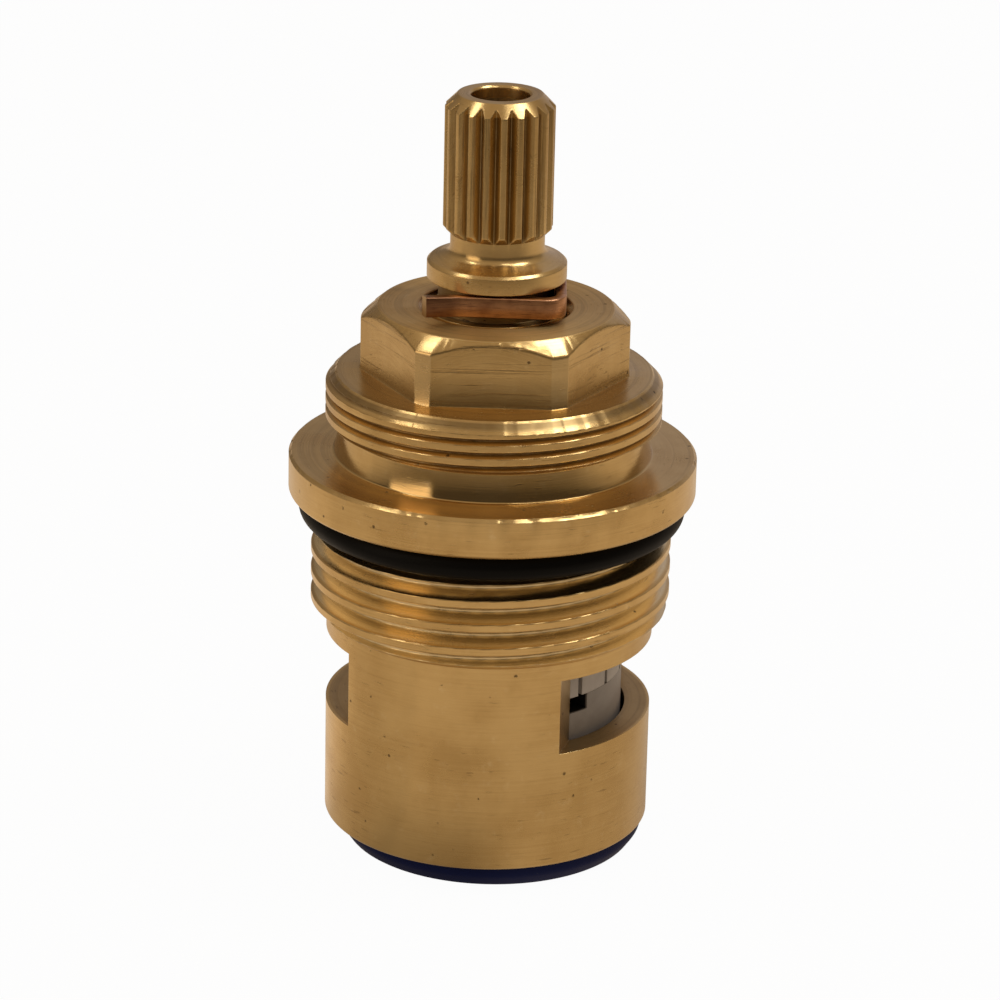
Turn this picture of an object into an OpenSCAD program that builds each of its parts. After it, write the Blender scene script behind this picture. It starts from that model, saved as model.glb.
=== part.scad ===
// Quarter-turn ceramic disc tap cartridge with a splined spindle and a G3/4 valve thread.
// The axis is Z. The water ports in the skirt face +X and -X. Z = 0 is the face of the seat seal.

/* [Housing] */
// Outside diameter of the skirt
skirt_d = 24.1; // [22.6:0.1:24.4]
// Diameter of the chamber that holds the discs
chamber_d = 20.4; // [20:0.1:20.8]
// How far the seat seal stands proud of the skirt
seal_proud = 1.35; // [0.8:0.05:1.8]
// Height from the skirt's lower edge to the window sill
sill_h = 9.25; // [8.4:0.05:9.8]
// Height of each water window
window_h = 5.7; // [4.5:0.1:6]
// Distance from the axis to the milled flat of a window
window_flat = 8; // [7.4:0.1:8.6]
// Height of plain skirt between the window head and the valve thread
lintel_h = 1.3; // [1:0.1:2]
// Diameter of the plain neck under the shroud thread
relief_d = 23.2; // [22:0.1:23.6]
// Height of the plain neck under the shroud thread
relief_h = 2.45; // [1.6:0.05:4]
// Radius of the fillet between that neck and the flange
relief_fillet = 0.3; // [0.3:0.1:1.2]
// Diameter of the flange
flange_d = 29.8; // [28.8:0.1:32]
// Thickness of the flange
flange_t = 2.6; // [2:0.1:4]
// Chamfer on turned edges
edge_chamfer = 0.25; // [0.1:0.05:0.35]
// Countersink around the spindle's bore
bore_sink = 0.5; // [0.2:0.1:1]

/* [Threads] */
// Major diameter of the valve thread
valve_thread_d = 26.44; // [25.6:0.02:27.2]
// Length of the valve thread
valve_thread_l = 6.75; // [5:0.05:9]
// Height of the chamfers that lead the valve thread in and out
valve_thread_lead = 0.9; // [0.4:0.1:1.4]
// Pitch of the valve thread
valve_pitch = 1.814; // [1.4:0.002:2.2]
// Depth of the valve thread
valve_thread_depth = 1.18; // [0.6:0.01:1.2]
// Length of the shroud thread
shroud_thread_l = 4.1; // [3:0.1:6]
// Major diameter of the shroud thread
shroud_thread_d = 24.5; // [24:0.1:25.5]
// Height of the chamfers on the shroud thread
shroud_thread_lead = 0.5; // [0.2:0.1:0.8]
// Pitch of the shroud thread
shroud_pitch = 1; // [0.75:0.05:1.25]
// Depth of the shroud thread
shroud_thread_depth = 0.42; // [0.3:0.02:0.6]
// Share of the pitch that a groove of the valve thread takes up at the crests
valve_groove_open = 0.7; // [0.5:0.02:0.8]
// Share of the pitch that a groove of the shroud thread takes up at the crests
shroud_groove_open = 0.5; // [0.4:0.02:0.8]
// Share of the pitch that is flat at the bottom of a groove
groove_floor = 0.12; // [0.08:0.02:0.3]

/* [Hexagon] */
// Width across the flats
hex_af = 17.5; // [17:0.1:18.2]
// Diameter that the corners are turned down to
hex_corner_d = 19.5; // [18.8:0.1:20]
// Height of the hexagon
hex_h = 4.9; // [4:0.1:8]
// Height of the chamfer on top of the hexagon
hex_chamfer_h = 1; // [0.6:0.1:1.4]
// Diameter of the flat face on top of the hexagon
hex_face_d = 17; // [15:0.1:17.4]
// Turn of the hexagon from the windows, in degrees
hex_turn = 14.2; // [0:0.1:60]

/* [Seals] */
// Section diameter of the flange O-ring
flange_oring_s = 2.1; // [1.8:0.05:2.4]
// How far the flange reaches past its O-ring
flange_overhang = 0.72; // [0.4:0.02:1]
// Free height beside the flange O-ring in its seat
oring_seat_spare = 0.55; // [0.3:0.05:1]
// Section diameter of the spindle O-rings
spindle_oring_s = 1.5; // [1.3:0.05:1.8]
// Height of the lower spindle O-ring above the chamber's roof
spindle_oring_rise = 6; // [4:0.5:8]
// Distance between the two spindle O-rings
spindle_oring_step = 5; // [3:0.5:7]
// Height of the seat seal
seal_h = 5; // [4.6:0.1:5.4]
// Outside diameter of the seat seal's lip
seal_lip_d = 21.9; // [21.4:0.1:22.2]
// Height of the seat seal's lip
seal_lip_h = 2.6; // [2:0.1:3.2]
// How far the lip tapers in at its lower face
seal_lip_taper = 0.5; // [0.2:0.1:0.8]
// Waterway through the seat seal
seal_bore_d = 15.6; // [15:0.1:16.4]
// Waterway through the support ring
support_bore_d = 13.8; // [13:0.1:14.4]
// Height of the support ring
support_h = 3.6; // [2.6:0.1:4.2]
// How deep the support ring sits in the seat seal
support_bite = 0.6; // [0.4:0.1:0.8]

/* [Discs] */
// Diameter of both ceramic discs
disc_d = 19.8; // [19.4:0.1:19.9]
// Thickness of the fixed disc
fixed_disc_t = 4.4; // [4:0.1:4.8]
// Thickness of the moving disc
moving_disc_t = 4.3; // [4:0.1:5]
// Thickness of the ported base of the moving disc
moving_base_t = 3.1; // [2.6:0.1:3.4]
// Inside radius of a port
port_in_r = 2.6; // [2.2:0.1:3.4]
// Outside radius of a port
port_out_r = 7.6; // [7:0.1:8.2]
// Angle of a port, in degrees
port_angle = 78; // [60:1:84]
// Angle of each shoulder left standing on the moving disc, in degrees
shoulder_angle = 54; // [44:1:70]
// Width of the lugs that stop the fixed disc from turning
lug_w = 5; // [4:0.1:6]
// How far those lugs stand out of the disc
lug_out = 1.05; // [0.8:0.05:1.2]

/* [Silencer] */
// Height of the silencer ring
silencer_h = 3.6; // [2.6:0.1:4]
// Height of its comb teeth
comb_h = 2.3; // [1.4:0.1:2.6]
// Radial thickness of the ring
silencer_wall = 1.6; // [1.2:0.1:1.6]
// Number of comb teeth
comb_teeth = 20; // [12:1:24]
// Width of the slot between two teeth
comb_slot = 0.4; // [0.3:0.1:1]
// Angle of one slot from the windows, in degrees
comb_turn = 4.6; // [0:0.1:18]

/* [Spindle] */
// Diameter of the journal and of its collar
journal_d = 10.1; // [9.6:0.1:10.6]
// Thickness of the thrust flange
thrust_flange_t = 2; // [1.6:0.1:2.6]
// Diameter of the thrust flange
thrust_flange_d = 17.1; // [16.7:0.1:17.6]
// Thickness of the thrust washer
thrust_washer_t = 0.7; // [0.4:0.1:1.2]
// Width of the drive tongue
tongue_w = 4.8; // [4:0.1:5.4]
// Length of the drive tongue
tongue_l = 15.4; // [14:0.1:15.8]
// How deep the tongue bites into the base of the moving disc
tongue_bite = 0.4; // [0.2:0.05:0.8]
// Height of the groove that holds the retaining clip
clip_groove_h = 2.25; // [1.8:0.05:3]
// Diameter at the bottom of that groove
clip_groove_d = 8.4; // [7.6:0.1:8.6]
// How far that groove reaches down into the housing
clip_groove_drop = 0.1; // [0.05:0.05:0.3]
// Thickness of the collar's rim
collar_t = 1.2; // [0.8:0.1:2]
// Height of the flare from the collar to the neck
flare_h = 1.2; // [0.8:0.1:1.6]
// Diameter of the neck under the splines
neck_d = 6.8; // [6:0.1:7]
// Height of the neck under the splines
neck_h = 0.7; // [0.5:0.1:2]
// Tip diameter of the splines
spline_d = 7.9; // [7.4:0.1:8.4]
// Depth of the spline grooves
spline_depth = 0.55; // [0.3:0.05:0.65]
// Number of splines
spline_teeth = 20; // [16:1:24]
// Share of the spline pitch that a groove takes up at the tips
spline_open = 0.68; // [0.5:0.02:0.8]
// Share of the spline pitch that is flat at the bottom of a groove
spline_floor = 0.1; // [0.06:0.02:0.3]
// Length of the splined end
spline_l = 10.4; // [7:0.1:14]
// Chamfer on the free end of the splines
spline_chamfer = 0.9; // [0.5:0.05:0.9]
// Chamfer where the splines start at the neck
spline_lead = 0.5; // [0.3:0.05:0.9]
// Angle of one spline from the windows, in degrees
spline_turn = 2.4; // [0:0.1:18]
// Minor diameter of the tapped hole for the handle screw
screw_hole_d = 4.2; // [3.2:0.1:4.4]
// Depth of that hole
screw_hole_depth = 9; // [6:0.5:12]
// Countersink at the mouth of that hole
screw_hole_sink = 0.15; // [0.1:0.05:0.5]

/* [Retaining clip] */
// Thickness of the clip's wire
clip_wire_t = 0.8; // [0.6:0.05:1]
// Height of the clip's wire
clip_wire_h = 1.5; // [1:0.1:1.6]
// Outside radius of the bends
clip_bend_r = 1.7; // [1.2:0.1:2.4]
// Gap between the ends of the wire
clip_gap = 5; // [1:0.1:6]
// Gap between the wire and the collar above it
clip_drop = 0.18; // [0.05:0.01:0.3]
// Turn of the clip from the windows, in degrees
clip_turn = 15.7; // [0:0.1:90]

/* [Quarter turn] */
// Travel of the spindle, in degrees
turn_angle = 90; // [80:1:95]
// Angle of each stop rib in the chamber, in degrees
stop_angle = 40; // [30:1:50]
// Spare angle between a lug and its stop, in degrees
stop_clearance = 1; // [0.5:0.1:2]

/* [Clearances] */
// Radial clearance of the spindle in its bore
running_c = 0.07; // [0.03:0.01:0.1]
// Gap between flat faces that slide on each other
face_gap = 0.02; // [0.01:0.01:0.05]
// Gap of a soft or trapped piece from its seat
seat_gap = 0.03; // [0.02:0.01:0.06]
// Radial clearance of pieces that drop into the chamber
drop_c = 0.15; // [0.1:0.05:0.25]

/* [Hidden] */
$fn = 64;
// How far joined solids overlap, and how far a cutter runs past a face
overlap = 0.2;
overrun = 1;
// Steps of a quarter of an arc in a turned outline
arc_steps = 6;
arc = 90 / arc_steps;

// Heights of the housing, from the seat seal's face upwards
z_skirt = seal_proud;
z_sill = z_skirt + sill_h;
z_head = z_sill + window_h;
z_valve_thread = z_head + lintel_h;
z_oring_seat = z_valve_thread + valve_thread_l;
z_flange = z_oring_seat + flange_oring_s + oring_seat_spare;
z_flange_top = z_flange + flange_t;
z_shroud_thread = z_flange_top + relief_h;
z_shoulder = z_shroud_thread + shroud_thread_l;
z_hex_top = z_shoulder + hex_h;

// Heights of the stack in the chamber
z_fixed = seal_h;
z_moving = z_fixed + fixed_disc_t + face_gap;
z_moving_base = z_moving + moving_base_t;
z_moving_top = z_moving + moving_disc_t;
z_tongue = z_moving_base - tongue_bite;
z_silencer = z_moving_top + face_gap;
z_thrust_flange = z_silencer + silencer_h + face_gap;
z_thrust_washer = z_thrust_flange + thrust_flange_t + face_gap;
z_roof = z_thrust_washer + thrust_washer_t + face_gap;
z_oring_lower = z_roof + spindle_oring_rise;
z_oring_upper = z_oring_lower + spindle_oring_step;

// Heights of the spindle above the housing
z_groove = z_hex_top - clip_groove_drop;
z_collar = z_hex_top + clip_groove_h;
z_collar_top = z_collar + collar_t;
z_neck = z_collar_top + flare_h;
z_spline = z_neck + neck_h;
z_spindle_top = z_spline + spline_l;

// Radii that fit one piece to another
chamber_r = chamber_d / 2;
journal_r = journal_d / 2;
bore_r = journal_r + running_c;
disc_r = disc_d / 2;
oring_seat_r = flange_d / 2 - flange_overhang - flange_oring_s - seat_gap;
seal_seat_r = seal_lip_d / 2 + drop_c / 2;
seal_seat_h = seal_lip_h - seal_proud + drop_c;
lug_r = disc_r + lug_out;
lug_slot_r = lug_r + drop_c;
silencer_in_r = disc_r - silencer_wall;
thrust_r = thrust_flange_d / 2;
stop_in_r = thrust_r + drop_c;
stop_lug_angle = 180 - stop_angle - turn_angle - 2 * stop_clearance;
stop_lug_turn = -(90 - stop_angle / 2 - stop_clearance - stop_lug_angle / 2);
support_out_r = seal_bore_d / 2 + support_bite;
support_rise = (seal_h - support_h) / 2;
oring_groove_r = journal_r - spindle_oring_s + 2 * seat_gap;
oring_groove_h = spindle_oring_s + 2 * seat_gap;
spline_r = spline_d / 2;
spline_root_r = spline_r - spline_depth;
spline_step = 360 / spline_teeth;
clip_in = clip_groove_d / 2 + seat_gap;

// Outline of a thread's grooves, drawn as plain rings and centred between two heights
function thread_rings(r, depth, pitch, open, low, high) =
    let (count = floor((high - low) / pitch), first = (low + high - (count - 1) * pitch) / 2,
         tip = pitch * open / 2, root = pitch * groove_floor / 2)
    [for (k = [0:count - 1], p = [[0, -tip], [depth, -root], [depth, root], [0, tip]])
        [r - p[0], first + k * pitch + p[1]]];

// A ring of rectangular section
module tube(r_out, r_in, h) {
    rotate_extrude() translate([r_in, 0]) square([r_out - r_in, h]);
}

// A sector of a circle about +X, reaching radius r
module sector(angle, r) {
    far = r / cos(angle / 4) + overrun;
    intersection() {
        circle(r);
        polygon([[0, 0], for (k = [-2:2]) far * [cos(angle * k / 4), sin(angle * k / 4)]]);
    }
}

// Two opposite sector-shaped ports, as a flat outline
module ports(turn) {
    for (side = [0, 180])
        rotate(turn + side) difference() {
            sector(port_angle, port_out_r);
            circle(port_in_r);
        }
}

// An O-ring with its lowest point at height z
module oring(inner_r, section, z) {
    translate([0, 0, z + section / 2])
        rotate_extrude() translate([inner_r + section / 2, 0]) circle(d = section);
}

// Turned outside of the housing below the hexagon
module housing_turned() {
    skirt_r = skirt_d / 2;
    valve_r = valve_thread_d / 2;
    valve_low = z_valve_thread + valve_thread_lead;
    valve_high = z_oring_seat - valve_thread_lead / 2;
    flange_r = flange_d / 2;
    relief_r = relief_d / 2;
    shroud_r = shroud_thread_d / 2;
    shroud_low = z_shroud_thread + shroud_thread_lead;
    shroud_high = z_shoulder - shroud_thread_lead;
    c = edge_chamfer;
    f = relief_fillet;
    rotate_extrude() polygon([
        [0, z_skirt], [skirt_r - c, z_skirt], [skirt_r, z_skirt + c], [skirt_r, z_valve_thread],
        [valve_r, valve_low],
        each thread_rings(valve_r, valve_thread_depth, valve_pitch, valve_groove_open,
                          valve_low, valve_high),
        [valve_r, valve_high], [oring_seat_r, z_oring_seat],
        [oring_seat_r, z_flange], [flange_r - c, z_flange], [flange_r, z_flange + c],
        [flange_r, z_flange_top - c], [flange_r - c, z_flange_top], [relief_r + f, z_flange_top],
        for (k = [1:arc_steps])
            [relief_r + f - f * sin(arc * k), z_flange_top + f - f * cos(arc * k)],
        [relief_r, z_shroud_thread], [shroud_r, shroud_low],
        each thread_rings(shroud_r, shroud_thread_depth, shroud_pitch, shroud_groove_open,
                          shroud_low, shroud_high),
        [shroud_r, shroud_high], [shroud_r - shroud_thread_lead, z_shoulder], [0, z_shoulder]]);
}

// Hexagon with turned corners and a chamfered top
module housing_hexagon() {
    corner_r = hex_corner_d / 2;
    z_low = z_shoulder - overlap;
    intersection() {
        translate([0, 0, z_low]) rotate(hex_turn)
            cylinder(r = hex_af / 2 / cos(30), h = z_hex_top - z_low, $fn = 6);
        rotate_extrude() polygon([
            [0, z_low], [corner_r, z_low], [corner_r, z_hex_top - hex_chamfer_h],
            [hex_face_d / 2, z_hex_top], [0, z_hex_top]]);
    }
}

// Chamber, seal seat and spindle bore, all cut on the axis
module housing_bores() {
    z_low = z_skirt - overrun;
    z_high = z_hex_top + overrun;
    rotate_extrude() polygon([
        [0, z_low], [seal_seat_r, z_low], [seal_seat_r, z_skirt + seal_seat_h],
        [chamber_r, z_skirt + seal_seat_h], [chamber_r, z_roof], [bore_r, z_roof],
        [bore_r, z_hex_top - bore_sink], [bore_r + bore_sink, z_hex_top],
        [bore_r + bore_sink, z_high], [0, z_high]]);
}

// Stop ribs under the roof of the chamber
module stop_ribs() {
    for (side = [90, 270])
        translate([0, 0, z_thrust_flange]) rotate(side)
            linear_extrude(z_roof - z_thrust_flange + overlap) difference() {
                sector(stop_angle, chamber_r + overlap);
                circle(stop_in_r);
            }
}

module bonnet_body() color("goldenrod") {
    difference() {
        union() {
            housing_turned();
            housing_hexagon();
        }
        housing_bores();
        for (side = [0, 180])
            rotate(side) translate([window_flat, -flange_d / 2, z_sill])
                cube([flange_d / 2, flange_d, window_h]);
        for (side = [90, 270])
            rotate(side) translate([chamber_r / 2, -lug_w / 2 - drop_c, z_skirt - overrun])
                cube([lug_slot_r - chamber_r / 2, lug_w + 2 * drop_c, z_moving - z_skirt + overrun]);
    }
    stop_ribs();
}

// One V-shaped spline groove with its open side past the tip circle
module spline_groove() {
    half_tip = spline_step * spline_open / 2;
    half_root = spline_step * spline_floor / 2;
    out_r = spline_r + overrun;
    polygon([
        for (p = [[spline_root_r, -half_root], [spline_r, -half_tip], [out_r, -half_tip],
                  [out_r, half_tip], [spline_r, half_tip], [spline_root_r, half_root]])
            p[0] * [cos(p[1]), sin(p[1])]]);
}

// Turned form of the spindle, from the thrust flange to the splined end
module spindle_turned() {
    neck_r = neck_d / 2;
    c = edge_chamfer;
    flare = journal_r - c - neck_r;
    z_thrust_top = z_thrust_flange + thrust_flange_t;
    rotate_extrude() polygon([
        [0, z_thrust_flange], [thrust_r, z_thrust_flange],
        [thrust_r, z_thrust_top], [journal_r, z_thrust_top],
        for (z = [z_oring_lower, z_oring_upper]) each [
            [journal_r, z], [oring_groove_r, z],
            [oring_groove_r, z + oring_groove_h], [journal_r, z + oring_groove_h]],
        [journal_r, z_groove], [clip_groove_d / 2, z_groove], [clip_groove_d / 2, z_collar],
        [journal_r, z_collar], [journal_r, z_collar_top - c], [journal_r - c, z_collar_top],
        for (k = [1:arc_steps])
            [neck_r + flare * (1 - sin(arc * k)), z_collar_top + flare_h * (1 - cos(arc * k))],
        [neck_r, z_spline], [spline_r - spline_lead, z_spline], [spline_r, z_spline + spline_lead],
        [spline_r, z_spindle_top - spline_chamfer], [spline_r - spline_chamfer, z_spindle_top],
        [0, z_spindle_top]]);
}

// Block of the drive tongue, grown by a gap and reaching up to a height
module tongue_block(gap, z_top) {
    translate([-tongue_l / 2 - gap, -tongue_w / 2 - gap, z_tongue - gap])
        cube([tongue_l + 2 * gap, tongue_w + 2 * gap, z_top - z_tongue + gap]);
}

module spindle() color("peru") {
    hole_r = screw_hole_d / 2;
    difference() {
        spindle_turned();
        translate([0, 0, z_spline]) linear_extrude(spline_l + overrun)
            for (k = [0:spline_teeth - 1])
                rotate(spline_turn + (k + 0.5) * spline_step) spline_groove();
        translate([0, 0, z_spindle_top - screw_hole_depth])
            cylinder(r = hole_r, h = screw_hole_depth + overrun);
        translate([0, 0, z_spindle_top - screw_hole_sink])
            cylinder(r1 = hole_r, r2 = hole_r + 2 * screw_hole_sink, h = 2 * screw_hole_sink);
    }
    for (side = [0, 180])
        translate([0, 0, z_thrust_flange]) rotate(stop_lug_turn + side)
            linear_extrude(thrust_flange_t) difference() {
                sector(stop_lug_angle, chamber_r - drop_c);
                circle(thrust_r - overlap);
            }
    tongue_block(0, z_thrust_flange + overlap);
}

// Square with round corners, made of squares and circles
module rounded_square(half, r) {
    square([2 * half, 2 * (half - r)], center = true);
    square([2 * (half - r), 2 * half], center = true);
    for (x = [-1, 1], y = [-1, 1]) translate((half - r) * [x, y]) circle(r);
}

module retaining_clip() color("sienna") {
    clip_out = clip_in + clip_wire_t;
    translate([0, 0, z_collar - clip_drop - clip_wire_h]) rotate(clip_turn)
        linear_extrude(clip_wire_h) difference() {
            rounded_square(clip_out, clip_bend_r);
            rounded_square(clip_in, clip_bend_r - clip_wire_t);
            translate([-clip_out - overrun, -clip_in]) square([clip_out, clip_gap]);
        }
}

// An O-ring in its groove in the spindle
module spindle_oring(z_groove_floor)
    oring(oring_groove_r + seat_gap, spindle_oring_s - 2 * seat_gap, z_groove_floor + 2 * seat_gap);

module spindle_oring_upper() color("black") spindle_oring(z_oring_upper);

module spindle_oring_lower() color("black") spindle_oring(z_oring_lower);

module thrust_washer() color("white")
    translate([0, 0, z_thrust_washer]) tube(thrust_r, journal_r + drop_c, thrust_washer_t);

// Ring with comb teeth that point down, open where the drive tongue passes
module silencer_ring() color("whitesmoke") difference() {
    translate([0, 0, z_silencer]) tube(disc_r, silencer_in_r, silencer_h);
    for (k = [0:comb_teeth - 1])
        rotate(comb_turn + k * 360 / comb_teeth)
            translate([silencer_in_r - overrun, -comb_slot / 2, z_silencer - overrun])
                cube([silencer_wall + 2 * overrun, comb_slot, comb_h + overrun]);
    tongue_block(drop_c, z_thrust_flange);
}

// Ported base with two shoulders, which the spindle's tongue drives through a slot
module moving_disc() color("gainsboro") difference() {
    union() {
        translate([0, 0, z_moving]) cylinder(r = disc_r, h = moving_base_t);
        translate([0, 0, z_moving]) linear_extrude(moving_disc_t)
            for (side = [0, 180]) rotate(side) sector(shoulder_angle, disc_r);
    }
    translate([0, 0, z_moving - overrun]) linear_extrude(moving_disc_t + 2 * overrun) ports(90);
    tongue_block(drop_c, z_moving_top + overrun);
}

module fixed_disc() color("ivory")
    translate([0, 0, z_fixed]) linear_extrude(fixed_disc_t) difference() {
        union() {
            circle(disc_r);
            intersection() {
                circle(lug_r);
                square([lug_w, 2 * lug_r + overrun], center = true);
            }
        }
        ports(0);
    }

// Blue rubber ring with a lip below and a groove for the support ring in its bore
module seat_seal() color("midnightblue") {
    lip_r = seal_lip_d / 2;
    body_r = chamber_r - drop_c;
    bore = seal_bore_d / 2;
    rotate_extrude() difference() {
        polygon([
            [bore, 0], [lip_r - seal_lip_taper, 0], [lip_r, seal_proud], [lip_r, seal_lip_h],
            [body_r, seal_lip_h], [body_r, seal_h], [bore, seal_h]]);
        translate([0, support_rise]) square([support_out_r, support_h]);
    }
}

module seal_support_ring() color("lightgray")
    translate([0, 0, support_rise + seat_gap])
        tube(support_out_r - seat_gap, support_bore_d / 2, support_h - 2 * seat_gap);

module flange_oring() color("black")
    oring(oring_seat_r + seat_gap, flange_oring_s, z_flange - flange_oring_s - seat_gap);

bonnet_body();
spindle();
retaining_clip();
spindle_oring_upper();
spindle_oring_lower();
thrust_washer();
silencer_ring();
moving_disc();
fixed_disc();
seat_seal();
seal_support_ring();
flange_oring();
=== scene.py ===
# %% [markdown]
# # A ceramic disc tap cartridge
# The cartridge is a turned brass body with a splined spindle, held by a bronze clip, over ceramic discs and
# a rubber seat seal. The CAD frame gives every piece its size and place, and this lesson gives each one its
# looks. Sizes of the part are in millimetres, which MM turns into Blender's metres.

# %% Load the frame
import math

import bpy
import numpy as np
from mathutils import Matrix, Vector


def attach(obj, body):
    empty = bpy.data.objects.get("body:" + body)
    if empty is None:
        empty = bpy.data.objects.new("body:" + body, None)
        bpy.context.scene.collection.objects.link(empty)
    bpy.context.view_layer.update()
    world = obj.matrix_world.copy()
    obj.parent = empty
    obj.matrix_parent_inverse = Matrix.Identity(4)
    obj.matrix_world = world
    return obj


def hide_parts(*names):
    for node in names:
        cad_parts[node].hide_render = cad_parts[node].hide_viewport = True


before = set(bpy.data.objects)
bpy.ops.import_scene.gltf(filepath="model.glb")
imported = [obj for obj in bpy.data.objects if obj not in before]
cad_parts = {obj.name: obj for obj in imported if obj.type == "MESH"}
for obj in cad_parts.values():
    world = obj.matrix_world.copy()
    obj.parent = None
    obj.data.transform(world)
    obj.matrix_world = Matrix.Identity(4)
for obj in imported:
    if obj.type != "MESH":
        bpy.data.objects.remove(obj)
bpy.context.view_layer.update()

MM = 0.001


def node_box(name):
    """Lowest and highest corner of a CAD node, in millimetres."""
    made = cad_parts[name]
    corners = np.array([made.matrix_world @ v.co for v in made.data.vertices]) / MM
    return corners.min(axis=0).round(3).tolist(), corners.max(axis=0).round(3).tolist()


boxes = {name: node_box(name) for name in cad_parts}

# %% [markdown]
# ## Shader maths as Python
# A material is a graph of small nodes. Wiring each by hand hides the idea, so one small class wraps a socket
# and turns plus, minus and times into Math nodes. Colours go through Mix nodes, because a Math node would
# turn them grey.

# %% A socket that does arithmetic
class Wire:
    """One output socket of a material, with the arithmetic that the finishes need."""

    def __init__(self, tree, socket):
        self.tree = tree
        self.socket = socket

    def node(self, kind, settings=None, out=0, **inputs):
        """Adds any node: its settings first, then values or wires for its sockets.
        A socket goes by its name, or by its number as i0, i1 and so on."""
        made = self.tree.nodes.new(kind)
        for key, value in (settings or {}).items():
            setattr(made, key, value)
        for key, value in inputs.items():
            numbered = key[0] == "i" and key[1:].isdigit()
            socket = made.inputs[int(key[1:]) if numbered else key]
            if isinstance(value, Wire):
                self.tree.links.new(value.socket, socket)
            else:
                socket.default_value = value
        return Wire(self.tree, made.outputs[out])

    def math(self, operation, *values):
        """Adds a Math node."""
        return self.node("ShaderNodeMath", {"operation": operation},
                         **{f"i{k}": value for k, value in enumerate(values)})

    def __add__(self, other):
        return self.math("ADD", self, other)

    def __sub__(self, other):
        return self.math("SUBTRACT", self, other)

    def __mul__(self, other):
        return self.math("MULTIPLY", self, other)

    def __truediv__(self, other):
        return self.math("DIVIDE", self, other)

    def __radd__(self, other):
        return self.math("ADD", other, self)

    def __rsub__(self, other):
        return self.math("SUBTRACT", other, self)

    def __rmul__(self, other):
        return self.math("MULTIPLY", other, self)

    def __pow__(self, power):
        return self.math("POWER", self, power)

    def step(self, low, high):
        """0 below low, 1 above high, smooth between."""
        return self.node("ShaderNodeMapRange", {"interpolation_type": "SMOOTHSTEP"},
                         Value=self, **{"From Min": low, "From Max": high})

    def between(self, low, high, soft):
        """1 where the value lies from low to high, with soft edges."""
        return self.step(low - soft, low + soft) * (1 - self.step(high - soft, high + soft))

    def capped(self):
        """The value, but 1 at most."""
        return self.math("MINIMUM", self, 1.0)

    def split(self):
        """The x, y and z of a vector."""
        return [self.node("ShaderNodeSeparateXYZ", out=k, Vector=self) for k in range(3)]

    def mix(self, colour_a, colour_b):
        """The colour that lies this far from colour_a to colour_b."""
        return self.node("ShaderNodeMix", {"data_type": "RGBA"}, out=2, i0=self, i6=colour_a, i7=colour_b)


def rgb(red, green, blue):
    """A colour that hides what is behind it."""
    return (red, green, blue, 1.0)


def grey(level):
    """A colour with no hue."""
    return rgb(level, level, level)


print("Wire is ready")

# %% [markdown]
# ## A place for each point of a finish
# Every finish here follows the part: lathe marks run round the axis, draw marks run along the hexagon's flats
# and grime lies in the grooves. So each material starts from the distance to the axis, the height and the
# direction.

# %% Start a material
class Finish:
    """A new material with its shader, and the coordinates of the part in millimetres."""

    def __init__(self, name):
        self.material = bpy.data.materials.new(name)
        self.material.use_nodes = True
        self.tree = self.material.node_tree
        self.shader = self.tree.nodes["Principled BSDF"]
        coords = Wire(self.tree, self.tree.nodes.new("ShaderNodeTexCoord").outputs["Object"])
        self.place = coords.node("ShaderNodeVectorMath", {"operation": "SCALE"}, i0=coords, Scale=1 / MM)
        self.x, self.y, self.z = self.place.split()
        self.radius = (self.x * self.x + self.y * self.y) ** 0.5
        self.east = self.x / self.radius
        self.north = self.y / self.radius

    def at(self, x, y, z):
        """A point made of three wires or numbers."""
        return self.place.node("ShaderNodeCombineXYZ", X=x, Y=y, Z=z)

    def noise(self, scale, detail=4.0, roughness=0.55, at=None):
        """Soft noise with grains of about 1 / scale millimetres."""
        return self.place.node("ShaderNodeTexNoise", Vector=at or self.place, Scale=scale,
                               Detail=detail, Roughness=roughness)

    def spots(self, scale, low, high):
        """Round spots, one to a cell of 1 / scale millimetres."""
        cells = self.place.node("ShaderNodeTexVoronoi", Vector=self.place, Scale=scale)
        return 1 - cells.step(low, high)

    def normal(self):
        """The direction that the surface faces."""
        return self.place.node("ShaderNodeNewGeometry", out=1)

    def soft_edges(self, size):
        """The normal with its edges rounded, and a mask that is 1 along those edges."""
        soft = self.place.node("ShaderNodeBevel", {"samples": 4}, Radius=size * MM)
        same = self.place.node("ShaderNodeVectorMath", {"operation": "DOT_PRODUCT"}, out=1,
                               i0=soft, i1=self.normal())
        return soft, (1 - same).step(0.01, 0.12)

    def bump(self, height, strength, depth, under):
        """A bump whose height wire, from 0 to 1, stands for depth millimetres."""
        return self.place.node("ShaderNodeBump", Height=height, Strength=strength,
                               Distance=depth * MM, Normal=under)

    def set(self, **values):
        """Constants go straight on the shader's sockets, and wires are linked to them."""
        for key, value in values.items():
            socket = self.shader.inputs[key.replace("_", " ")]
            if isinstance(value, Wire):
                self.tree.links.new(value.socket, socket)
            else:
                socket.default_value = value


print("Finish is ready")

# %% [markdown]
# ## Brass
# Bar brass that was turned and then handled: fine lathe lines, a warm colour that wanders between gold and
# brown, small pits, short scratches, bright worn edges that also carry a painted highlight, dark grime with
# painted shade in the grooves, and painted light on the valve thread's flanks. The lathe lines are noise that
# is squeezed along the outline and stretched round the axis, so they run as a tool would have left them.

# %% Brass finish
BRASS_GOLD = rgb(0.72, 0.51, 0.225)
BRASS_BROWN = rgb(0.60, 0.40, 0.160)
BRASS_DARK = rgb(0.085, 0.052, 0.026)
BRASS_BRIGHT = rgb(0.90, 0.74, 0.45)
LATHE_PITCH, RING_PITCH = 9.0, 3.2
EDGE_ROUNDING, TOOL_MARK, BAND_SOFT = 0.05, 0.012, 0.05


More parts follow.
